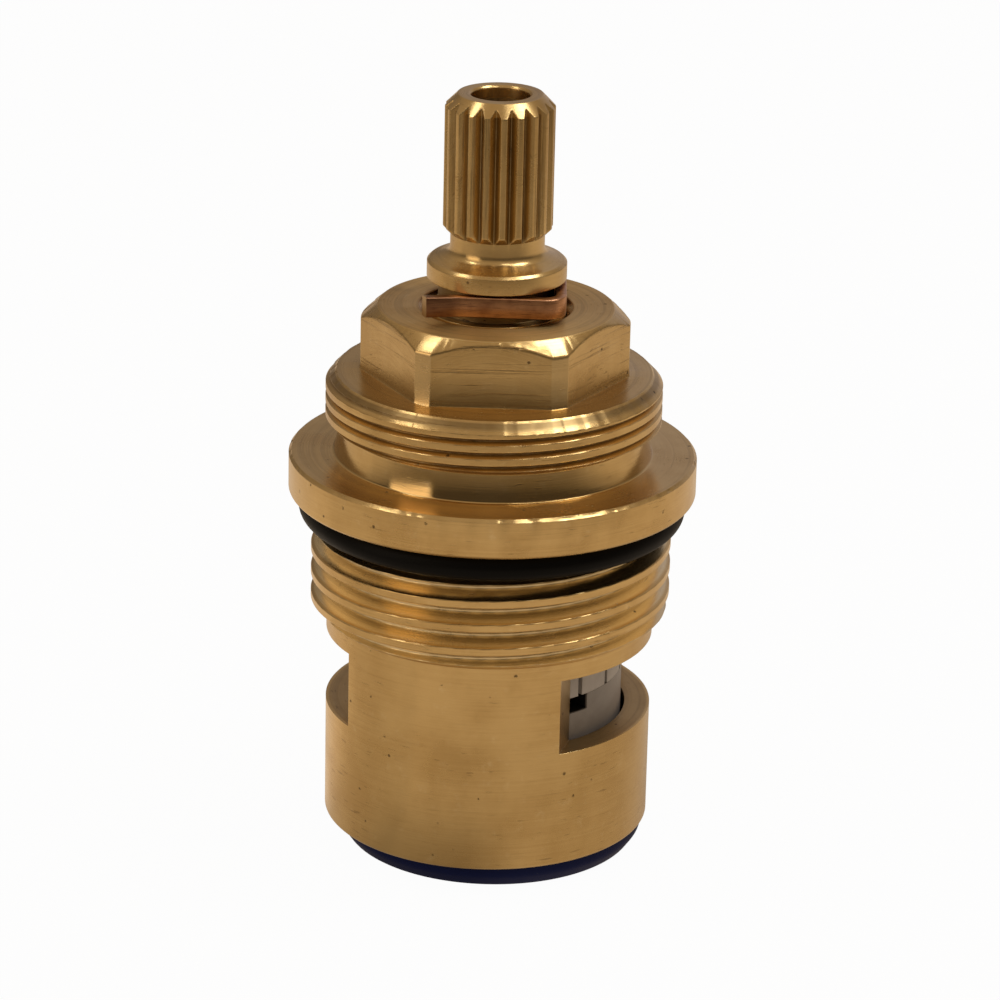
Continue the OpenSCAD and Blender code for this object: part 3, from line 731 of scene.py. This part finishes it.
tongue = [(tongue_r * 0.5, TONGUE_Z), (tongue_r - TONGUE_EDGE, TONGUE_Z),
          (tongue_r, TONGUE_Z + TONGUE_EDGE), (tongue_r, THRUST_Z)]
thrust_flange = [(thrust_r - THRUST_EDGE, THRUST_Z), (thrust_r, THRUST_Z + THRUST_EDGE),
                 (thrust_r, THRUST_TOP - THRUST_EDGE), (thrust_r - THRUST_EDGE, THRUST_TOP)]
journal = [(JOURNAL_R + JOURNAL_FOOT, THRUST_TOP, 0), (JOURNAL_R, THRUST_TOP + JOURNAL_FOOT, 0)]
for low in ORING_GROOVES:
    high = low + ORING_GROOVE_H
    journal += [(JOURNAL_R, low, 0.05), (ORING_GROOVE_R, low, 0.05),
                (ORING_GROOVE_R, high, 0.05), (JOURNAL_R, high, 0.05)]
collar = [(JOURNAL_R, GROOVE_Z, 0.06), (CLIP_GROOVE_R, GROOVE_Z, 0.1), (CLIP_GROOVE_R, COLLAR_Z, 0.1),
          (JOURNAL_R, COLLAR_Z, 0.05), (JOURNAL_R, COLLAR_TOP - COLLAR_DOWN, 0.04),
          (JOURNAL_R - COLLAR_IN, COLLAR_TOP, 0.04)]
waist = [(FLARE_R, COLLAR_TOP + FLARE_Z, 0.3), (WAIST_R, COLLAR_TOP + FLARE_TOP, FLARE_ROUND),
         (WAIST_R, SPLINE_Z - SPLINE_GAP, 0)]
tip = rounded([(TIP_R + SPLINE_GAP / 2, SPINDLE_TOP - SPLINE_GAP / 2, 0), (TIP_R - TIP_IN, SPINDLE_TOP, 0.03),
               (HOLE_R + HOLE_SINK, SPINDLE_TOP, 0.04), (HOLE_R, SPINDLE_TOP - HOLE_SINK, 0.04),
               (HOLE_R, SPINDLE_TOP - SCREW_START + SCREW_STEP, 0)])
drilled = [(HOLE_R - HAIR, SPINDLE_TOP - HOLE_DEPTH), (DRILL_R, SPINDLE_TOP - HOLE_DEPTH - DRILL_TIP)]
spindle_rows = [*tongue, *thrust_flange, *rounded([*journal, *collar, *waist], 5),
                *splines, *tip, *screw_thread, *drilled]
spindle = turned("brass_spindle", spindle_rows, spindle_angles, spindle_brass, closed=False)
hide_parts("spindle")
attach(spindle, "spindle_set")
print("spindle faces:", len(spindle.data.polygons))

# %% [markdown]
# ## The clip
# A short length of flat bronze wire is bent round the groove under the collar and springs shut on it. It is
# swept along its path: a rounded rectangle stands on each point of the path. The front end is cut slantwise,
# as side cutters leave it, and the whole clip hangs a little askew.

# %% The clip's path and section
CLIP_TURN, CLIP_LEAN = math.radians(15.7), math.radians(0.8)
CLIP_IN, CLIP_WIRE, CLIP_BEND, CLIP_EDGE, CLIP_SLANT = 4.23, 0.8, 1.3, 0.14, 0.2
CLIP_TIP, CLIP_KINK, CLIP_OUT, CLIP_END = 5.1, 2.7, 0.45, 60
KINK_BEFORE, KINK_AFTER, KINK_OUT, BEND_STEPS = 0.4, 0.5, 0.07, 8
CLIP_LOW, CLIP_TOP = boxes["retaining_clip"][0][2], boxes["retaining_clip"][1][2]
CLIP_HALF = CLIP_IN + CLIP_WIRE / 2


def clip_path():
    """Points of the wire's middle, from the cut end at the front left round to the other end."""
    flat = CLIP_HALF - CLIP_BEND
    points = [Vector((-CLIP_TIP, -CLIP_HALF - CLIP_OUT)),
              Vector((-CLIP_KINK - KINK_BEFORE, -CLIP_HALF - KINK_OUT)),
              Vector((-CLIP_KINK, -CLIP_HALF)),
              Vector((-CLIP_KINK + KINK_AFTER, -CLIP_HALF)),
              Vector((0, -CLIP_HALF))]
    bends = [((flat, -flat), -90, 90), ((flat, flat), 0, 90), ((-flat, flat), 90, CLIP_END)]
    for corner, start, sweep in bends:
        for step in range(BEND_STEPS + 1):
            a = math.radians(start + step * sweep / BEND_STEPS)
            points.append(Vector(corner) + CLIP_BEND * Vector((math.cos(a), math.sin(a))))
    return points


def wire_section(thick, high):
    """A rectangle with round corners."""
    section = []
    for sx, sy, start in ((1, 1, 0), (-1, 1, 90), (-1, -1, 180), (1, -1, 270)):
        for step in range(4):
            a = math.radians(start + 30 * step)
            section.append((sx * (thick / 2 - CLIP_EDGE) + CLIP_EDGE * math.cos(a),
                            sy * (high / 2 - CLIP_EDGE) + CLIP_EDGE * math.sin(a)))
    return section


path = clip_path()
section = wire_section(CLIP_WIRE, CLIP_TOP - CLIP_LOW)
print("clip path points:", len(path), "section points:", len(section))

# %% Sweep the clip
def sweep_wire(name, path, section, height, material):
    """Carries a section along a flat path at one height; its first end is cut slantwise."""
    verts, faces, count = [], [], len(section)
    for k, point in enumerate(path):
        ahead = (path[min(k + 1, len(path) - 1)] - path[max(k - 1, 0)]).normalized()
        side = Vector((ahead.y, -ahead.x))
        slant = CLIP_SLANT if k == 0 else 0.0
        verts += [(*(point + side * across + ahead * across * slant), height + up) for across, up in section]
        if k:
            base = (k - 1) * count
            faces += [(base + j, base + (j + 1) % count, base + count + (j + 1) % count, base + count + j)
                      for j in range(count)]
    faces += [tuple(reversed(range(count))), tuple(range(len(verts) - count, len(verts)))]
    mesh = bpy.data.meshes.new(name)
    mesh.from_pydata([Vector(v) * MM for v in verts], [], faces)
    return piece(name, mesh, material)


clip_bronze = bronze("clip_bronze", CLIP_TURN, CLIP_TIP)
clip_mid = (CLIP_LOW + CLIP_TOP) / 2
clip = sweep_wire("bronze_clip", path, section, clip_mid, clip_bronze)
lift = Matrix.Translation((0, 0, clip_mid * MM))
lean = Matrix.Rotation(CLIP_LEAN, 4, "Y")
clip.data.transform(Matrix.Rotation(CLIP_TURN, 4, "Z") @ lift @ lean @ lift.inverted())
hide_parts("retaining_clip")
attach(clip, "spindle_set")
print("clip faces:", len(clip.data.polygons))

# %% [markdown]
# ## Rubber pieces
# The flange's O-ring is a moulded torus with a faint flash line where the mould parted. The seat seal is a
# turned outline with soft corners. Its lip bulges below the skirt and lies a little to one side, as in the
# photo.

# %% Turn the O-ring
RING_COLUMNS, ORING_STEPS, FLASH = 192, 40, 0.02
ring_angles = column_angles(RING_COLUMNS)
oring_low, oring_high = boxes["flange_oring"]
ORING_HALF = (oring_high[2] - oring_low[2]) / 2
ORING_MID, ORING_Z = oring_high[0] - ORING_HALF, (oring_low[2] + oring_high[2]) / 2
oring_rows = []
for k in range(ORING_STEPS):
    a = 2 * math.pi * k / ORING_STEPS
    flash = FLASH if k % (ORING_STEPS // 2) == 0 else 0.0
    across = ORING_MID + (ORING_HALF - FLASH + flash) * math.cos(a)
    oring_rows.append((across, ORING_Z + (ORING_HALF - FLASH) * math.sin(a)))
flange_oring = turned("rubber_flange_oring", oring_rows, ring_angles, black_rubber, closed=True)
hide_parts("flange_oring")
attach(flange_oring, "housing")
print("O-ring faces:", len(flange_oring.data.polygons))

# %% Turn the seat seal
LIP_R, SEAL_TOP = boxes["seat_seal"][1][0], boxes["seat_seal"][1][2]
SEAL_BORE, SEAL_BODY, LIP_Z, LIP_TAPER = 7.8, 10.05, 2.6, 0.3
RING_R, RING_LOW, RING_HIGH = 8.4, 0.7, 4.3
BULGE, BULGE_LOW, BULGE_GAP = 0.4, 1.0, 0.02
BULGE_R, BULGE_TOP = LIP_R + BULGE, SKIRT_Z - BULGE_GAP
SEAL_ASIDE, LIP_FROM = 0.35, SEAL_BODY + 0.1
seal_outline = rounded([
    (SEAL_BORE, RING_LOW - 0.1, 0), (SEAL_BORE, 0, 0.15), (LIP_R - LIP_TAPER, 0, 0.25),
    (BULGE_R, BULGE_LOW, 0.3), (BULGE_R, BULGE_TOP, 0.1), (LIP_R, BULGE_TOP, 0), (LIP_R, LIP_Z, 0.15),
    (SEAL_BODY, LIP_Z, 0.15), (SEAL_BODY, SEAL_TOP, 0.15), (SEAL_BORE, SEAL_TOP, 0.1),
    (SEAL_BORE, RING_HIGH, 0.05), (RING_R, RING_HIGH, 0.05), (RING_R, RING_LOW, 0.05),
    (SEAL_BORE, RING_LOW, 0)], 4)
aside = SEAL_ASIDE * np.cos(ring_angles - math.radians(CAMERA_AZIMUTH))
seal_rows = [(r + aside if r > LIP_FROM and z < SKIRT_Z else r, z) for r, z in seal_outline]
seal = turned("rubber_seat_seal", seal_rows, ring_angles, blue_rubber, closed=True)
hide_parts("seat_seal")
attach(seal, "housing")
print("seal faces:", len(seal.data.polygons))

# %% [markdown]
# ## Pieces that keep their CAD shape
# The discs, the comb ring and the small rings inside are exact already, so they only get their finish.

# %% Dress the CAD nodes
for node_name, finish in {
    "moving_disc": ceramic, "fixed_disc": ceramic, "silencer_ring": acetal, "thrust_washer": acetal,
    "seal_support_ring": support_plastic,
    "spindle_oring_upper": black_rubber, "spindle_oring_lower": black_rubber,
}.items():
    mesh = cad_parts[node_name].data
    mesh.materials.clear()
    mesh.materials.append(finish)
print("CAD nodes dressed")

# %% [markdown]
# ## Studio
# The photo was taken against white, but the brass mirrors a room: a pale table that darkens towards the
# camera, a window low on the left and a lamp high on the right. So the floor and the world are white to the
# camera and show that room to every other ray. Directions here are seen from the camera, which stands to the
# right of the front. A bearing is 0 degrees towards the camera and grows to the right.

# %% The floor
camera_turn = math.radians(CAMERA_AZIMUTH)
TOWARD = Vector((math.sin(camera_turn), -math.cos(camera_turn), 0))
RIGHT = Vector((math.cos(camera_turn), math.sin(camera_turn), 0))
TABLE_LIGHT, TABLE_NEAR, TABLE_SHADE, TABLE_FALL, TABLE_AHEAD = 0.68, 0.15, 0.24, 0.10, 0.32
TABLE_PATCH, TABLE_FADE, TABLE_LEFT, TABLE_LEFT_FALL, TABLE_DULL = 0.10, 0.35, 0.27, 0.25, 0.09
WINDOW_START, WINDOW_EDGE = -76, -44
FLOOR_HALF, FLOOR_GAP, FLOOR_CATCH = 3.0, 0.02, 0.03
WHITE, BLACK, PAPER = grey(1.0), grey(0.0), grey(0.8)


def warm(level):
    """The colour of the room's light."""
    return rgb(level, level * 0.80, level * 0.60)


def floor_light(f):
    """How light the mirrored table is. Distances from the axis are in millimetres."""
    toward = (f.x * TOWARD.x + f.y * TOWARD.y) / f.radius
    right = (f.x * RIGHT.x + f.y * RIGHT.y) / f.radius
    bearing = f.x.math("ARCTAN2", right, toward) * (180 / math.pi)
    # The table darkens with distance, most of all towards the camera, and also close to the object.
    far = f.radius.step(80, 150)
    light = TABLE_LIGHT - far * (TABLE_FALL + TABLE_AHEAD * toward.step(-0.1, 0.7))
    light = light - TABLE_NEAR * (1 - f.radius.step(30, 70))
    # The object shades the table in front of it, and a paler patch lies close by on the left.
    light = light - TABLE_SHADE * (1 - f.radius.step(14, 30)) * bearing.between(-60, 5, 18)
    light = light + TABLE_PATCH * (1 - f.radius.step(30, 60)) * (1 - bearing.step(-95, -70))
    # Far off the table fades on every side but the back.
    light = light * (1 - TABLE_FADE * f.radius.step(180, 400) * toward.step(-0.5, 0.0))
    # On the left it is lighter towards the back, and a little dull under the window.
    left = (1 - bearing.step(-115, -95)) * (TABLE_LEFT - TABLE_LEFT_FALL * f.radius.step(40, 80))
    return light * (1 + left - TABLE_DULL * bearing.between(-95, WINDOW_EDGE, 2))


def stage_floor():
    """A wide sheet that glows: white to the camera, and the lit table to every other ray."""
    f = Finish("floor_sheet")
    table = floor_light(f).mix(BLACK, warm(1.0))
    seen = Wire(f.tree, f.tree.nodes.new("ShaderNodeLightPath").outputs["Is Camera Ray"])
    f.set(Base_Color=BLACK, Emission_Color=seen.mix(table, WHITE), Emission_Strength=1.0)
    f.set(Specular_IOR_Level=0.0)
    # A trace of plain paper lets the sheet catch a faint shadow.
    paper = f.tree.nodes.new("ShaderNodeBsdfPrincipled")
    paper.inputs["Base Color"].default_value = PAPER
    blend = f.tree.nodes.new("ShaderNodeMixShader")
    f.tree.links.new((1 - seen * FLOOR_CATCH).socket, blend.inputs["Fac"])
    f.tree.links.new(paper.outputs[0], blend.inputs[1])
    f.tree.links.new(f.shader.outputs[0], blend.inputs[2])
    f.tree.links.new(blend.outputs[0], f.tree.nodes["Material Output"].inputs["Surface"])
    mesh = bpy.data.meshes.new("floor")
    corners = [(-1, -1), (1, -1), (1, 1), (-1, 1)]
    verts = [(x * FLOOR_HALF, y * FLOOR_HALF, -FLOOR_GAP * MM) for x, y in corners]
    mesh.from_pydata(verts, [], [(0, 1, 2, 3)])
    floor = bpy.data.objects.new("floor", mesh)
    floor.data.materials.append(f.material)
    bpy.context.scene.collection.objects.link(floor)


stage_floor()
print("floor laid,", 2 * FLOOR_HALF, "m wide")

# %% The room
ROOM_LOW, ROOM_HIGH, ROOM_FRONT, WINDOW_LIGHT = 0.18, 0.45, 0.05, 1.5
BACK_LIGHT = rgb(0.44, 0.40, 0.42)


def studio_world():
    """A room to the mirrors: lighter above, a pale back on the right, a dark low front and a window."""
    world = bpy.data.worlds.new("studio")
    world.use_nodes = True
    bpy.context.scene.world = world
    tree = world.node_tree
    way = Wire(tree, tree.nodes.new("ShaderNodeTexCoord").outputs["Generated"])
    x, y, up = way.split()
    toward = x * TOWARD.x + y * TOWARD.y
    right = x * RIGHT.x + y * RIGHT.y
    bearing = way.math("ARCTAN2", right, toward) * (180 / math.pi)
    room = up.step(0.0, 0.9).mix(warm(ROOM_LOW), warm(ROOM_HIGH))
    room = ((-1.0 * toward).step(0.5, 0.8) * right.step(-0.12, 0.12) * 0.8).mix(room, BACK_LIGHT)
    room = (toward.step(-0.3, 0.2) * (1 - up.step(0.25, 0.4)) * 0.85).mix(room, warm(ROOM_FRONT))
    window = bearing.between(WINDOW_START, WINDOW_EDGE, 1.5) * up.between(-0.1, 0.60, 0.03)
    room = window.mix(room, warm(WINDOW_LIGHT))
    seen = Wire(tree, tree.nodes.new("ShaderNodeLightPath").outputs["Is Camera Ray"])
    tree.links.new(seen.mix(room, WHITE).socket, tree.nodes["Background"].inputs["Color"])


studio_world()
print("room set")

# %% Lamps
LAMP_UP, LAMP_AIM = Vector((0, 0, 0.42)), Vector((0, 0, 0.03))


def lamp(name, aside, size, power):
    """A soft lamp at one height above the table, some way aside and aimed at the object. Sizes in metres."""
    data = bpy.data.lights.new(name, "AREA")
    data.shape = "RECTANGLE"
    data.size, data.size_y = size
    data.energy = power
    made = bpy.data.objects.new(name, data)
    made.location = aside + LAMP_UP
    made.rotation_euler = (LAMP_AIM - made.location).to_track_quat("-Z", "Y").to_euler()
    bpy.context.scene.collection.objects.link(made)


lamp("high_right", RIGHT * 0.21, (0.16, 0.14), 0.40)
lamp("high_front", TOWARD * 0.14 + RIGHT * 0.11, (0.10, 0.06), 0.08)
lamp("high_left", RIGHT * -0.24, (0.09, 0.09), 0.12)
print("lamps:", [made.name for made in bpy.data.lights])

# %% [markdown]
# ## Camera
# The camera was fitted to the photo: the ellipses of the flange and the skirt give its height, and the
# heights of known edges give its distance. It looks down 20 degrees, a little to the right of the front
# pillar.

# %% Camera
CAMERA_HEIGHT, CAMERA_FAR, AIM_Z = 20.0, 317.4, 26.78
AIM_YAW, AIM_TILT, CAMERA_ROLL, FOCAL_SHARE, SENSOR, CLIP_NEAR = 0.1155, 0.118, 1.306, 4.332, 36.0, 0.01

rise = math.radians(CAMERA_HEIGHT)
pitch = math.radians(CAMERA_HEIGHT + AIM_TILT)
yaw = math.radians(AIM_YAW)
roll = math.radians(CAMERA_ROLL)
spot = Vector((0, -CAMERA_FAR * math.cos(rise), AIM_Z + CAMERA_FAR * math.sin(rise))) * MM
forward = Vector((math.sin(yaw) * math.cos(pitch), math.cos(yaw) * math.cos(pitch), -math.sin(pitch)))
level_right = Vector((math.cos(yaw), -math.sin(yaw), 0))
upward = level_right.cross(forward)
rolled_right = level_right * math.cos(roll) + upward * math.sin(roll)
rolled_up = upward * math.cos(roll) - level_right * math.sin(roll)
stand = Matrix((rolled_right, rolled_up, -forward)).transposed().to_4x4()
stand.translation = spot
camera_data = bpy.data.cameras.new("camera")
camera_data.sensor_width = SENSOR
camera_data.lens = SENSOR * FOCAL_SHARE
camera_data.clip_start = CLIP_NEAR
camera = bpy.data.objects.new("camera", camera_data)
camera.matrix_world = Matrix.Rotation(camera_turn, 4, "Z") @ stand
bpy.context.scene.collection.objects.link(camera)
bpy.context.scene.camera = camera
bpy.context.scene.view_settings.view_transform = "Standard"
print("lens, mm:", round(camera_data.lens, 2))
